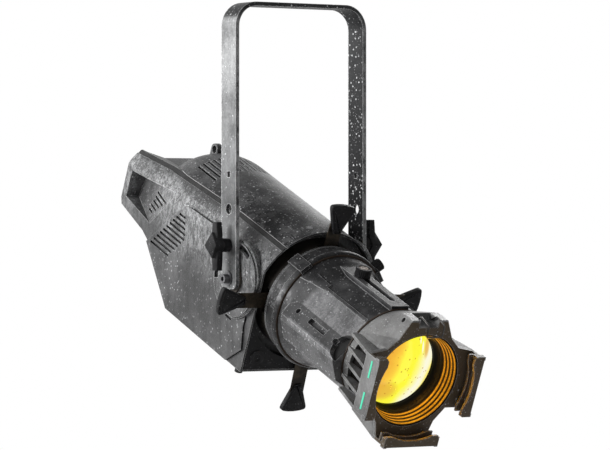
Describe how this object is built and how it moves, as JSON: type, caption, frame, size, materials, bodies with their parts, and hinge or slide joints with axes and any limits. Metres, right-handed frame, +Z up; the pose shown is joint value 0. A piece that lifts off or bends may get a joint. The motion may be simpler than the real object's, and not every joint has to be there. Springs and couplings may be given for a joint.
{
  "type": "ellipsoidal spotlight",
  "caption": "Theatre profile spotlight on a flat U yoke, with a domed housing, shutters with handles, a turning lens barrel and a lens cap with frame clips.",
  "frame": {"origin": "centre of the clamp hole on the yoke's top face, where the light hangs", "axes": "+Z up out of the yoke's top face, along the clamp hole; +X along the tilt pivot towards the light's left as it faces the stage, so the knob named left is on -X, which is the left as seen from the front; the light faces -Y, tilted down"},
  "size_m": [0.332, 0.6433, 0.595],
  "materials": {
    "yoke_paint": "fine textured dark grey powder coat",
    "body_paint": "textured dark grey powder coat on die-cast aluminium",
    "barrel_paint": "textured dark grey powder coat on die-cast aluminium",
    "cap_paint": "textured black-brown powder coat",
    "black_plastic": "satin black moulded plastic",
    "steel": "plain zinc-plated steel",
    "blade_steel": "heat-darkened stainless steel",
    "bare_aluminium": "bare extruded aluminium",
    "friction_pad": "fibre friction washer",
    "rubber": "black rubber",
    "lens_glass": "clear optical glass, lit warm",
    "window": "smoked display window",
    "board": "circuit board with components",
    "led": "white emitter board",
    "black_anodised": "matt black anodising",
    "baffle": "black anodised ridged ring, lit warm"
  },
  "bodies": {
    "yoke": {"yoke": "yoke_paint", "friction_washers": "friction_pad", "tilt_bolts": "steel"},
    "tilt_knob_left": {"tilt_knob_left": "black_plastic"},
    "tilt_knob_right": {"tilt_knob_right": "black_plastic"},
    "housing": {"pivot_disc_left": "body_paint", "pivot_disc_right": "body_paint", "pivot_screws": "steel", "top_cover": "body_paint", "left_shell": "body_paint", "right_shell": "body_paint", "seam_strips": "rubber", "left_side_panel": "body_paint", "right_side_panel": "body_paint", "base_cover": "body_paint", "front_bezel": "black_plastic", "vent_plug": "black_plastic", "feet": "rubber", "safety_eye": "body_paint", "front_bulkhead": "body_paint", "rear_panel": "body_paint", "display_window": "window", "power_sockets": "black_plastic", "data_sockets": "steel", "heat_sink": "bare_aluminium", "led_board": "led", "condenser_lens": "lens_glass", "condenser_holder": "body_paint", "fan_frame": "black_plastic", "power_supply": "bare_aluminium", "driver_board": "board", "housing_screws": "steel"},
    "fan": {"fan_rotor": "black_plastic"},
    "button_1": {"menu_button_1": "black_plastic"},
    "button_2": {"menu_button_2": "black_plastic"},
    "button_3": {"menu_button_3": "black_plastic"},
    "button_4": {"menu_button_4": "black_plastic"},
    "barrel": {"shutter_ring": "barrel_paint", "front_ring": "barrel_paint", "barrel_upper": "barrel_paint", "barrel_lower": "barrel_paint", "barrel_retainer": "steel", "barrel_clamps": "barrel_paint"},
    "lock_knob": {"barrel_lock_knob": "black_plastic"},
    "shutter_top": {"shutter_blade_top": "blade_steel", "shutter_handle_top": "black_plastic"},
    "shutter_left": {"shutter_blade_left": "blade_steel", "shutter_handle_left": "black_plastic"},
    "shutter_bottom": {"shutter_blade_bottom": "blade_steel", "shutter_handle_bottom": "black_plastic"},
    "shutter_right": {"shutter_blade_right": "blade_steel", "shutter_handle_right": "black_plastic"},
    "lens": {"lens_tube": "black_anodised", "front_cap": "cap_paint", "frame_clips": "cap_paint", "baffle_ring": "baffle", "front_lens": "lens_glass", "rear_lens": "lens_glass"},
    "focus_knob": {"focus_knob": "black_plastic"},
    "latch": {"gel_latch": "steel"}
  },
  "joints": [
    {"name": "head_tilt", "type": "hinge", "parent": "yoke", "child": "housing", "pos_m": [0, 0, -0.376], "axis": [1, 0, 0], "range_deg": [-43, 80]},
    {"name": "tilt_knob_left_turn", "type": "hinge", "parent": "yoke", "child": "tilt_knob_left", "pos_m": [-0.12, 0, -0.3305], "axis": [1, 0, 0], "continuous": true},
    {"name": "tilt_knob_right_turn", "type": "hinge", "parent": "yoke", "child": "tilt_knob_right", "pos_m": [0.12, 0, -0.3305], "axis": [1, 0, 0], "continuous": true},
    {"name": "barrel_turn", "type": "hinge", "parent": "housing", "child": "barrel", "pos_m": [0, -0.04978, -0.40495], "axis": [0, -0.9171, -0.3987], "range_deg": [-25, 25]},
    {"name": "barrel_lock_turn", "type": "hinge", "parent": "barrel", "child": "lock_knob", "pos_m": [0.07587, -0.08817, -0.3593], "axis": [0.7986, -0.24, 0.5519], "continuous": true},
    {"name": "shutter_top_slide", "type": "slide", "parent": "barrel", "child": "shutter_top", "axis": [0.0698, -0.3978, 0.9148], "range_m": [-0.009, 0.035]},
    {"name": "shutter_left_slide", "type": "slide", "parent": "barrel", "child": "shutter_left", "axis": [-1, 0, 0], "range_m": [-0.024, 0.02]},
    {"name": "shutter_bottom_slide", "type": "slide", "parent": "barrel", "child": "shutter_bottom", "axis": [0.0436, 0.3984, -0.9162], "range_m": [-0.036, 0.008]},
    {"name": "shutter_right_slide", "type": "slide", "parent": "barrel", "child": "shutter_right", "axis": [0.9997, 0.0104, -0.024], "range_m": [-0.044, 0]},
    {"name": "focus_slide", "type": "slide", "parent": "barrel", "child": "lens", "axis": [0, -0.9171, -0.3987], "range_m": [0, 0.07]},
    {"name": "focus_knob_turn", "type": "hinge", "parent": "lens", "child": "focus_knob", "pos_m": [0, -0.16621, -0.36289], "axis": [0, -0.3987, 0.9171], "continuous": true},
    {"name": "latch_swing", "type": "hinge", "parent": "lens", "child": "latch", "pos_m": [0, -0.30218, -0.42637], "axis": [-1, 0, 0], "range_deg": [0, 100]},
    {"name": "fan_spin", "type": "hinge", "parent": "housing", "child": "fan", "pos_m": [0, 0.19168, -0.29996], "axis": [0, -0.9171, -0.3987], "continuous": true},
    {"name": "button_1_press", "type": "slide", "parent": "housing", "child": "button_1", "axis": [0, -0.9171, -0.3987], "range_m": [0, 0.0012], "stiffness_N_per_m": 400},
    {"name": "button_2_press", "type": "slide", "parent": "housing", "child": "button_2", "axis": [0, -0.9171, -0.3987], "range_m": [0, 0.0012], "stiffness_N_per_m": 400},
    {"name": "button_3_press", "type": "slide", "parent": "housing", "child": "button_3", "axis": [0, -0.9171, -0.3987], "range_m": [0, 0.0012], "stiffness_N_per_m": 400},
    {"name": "button_4_press", "type": "slide", "parent": "housing", "child": "button_4", "axis": [0, -0.9171, -0.3987], "range_m": [0, 0.0012], "stiffness_N_per_m": 400}
  ]
}
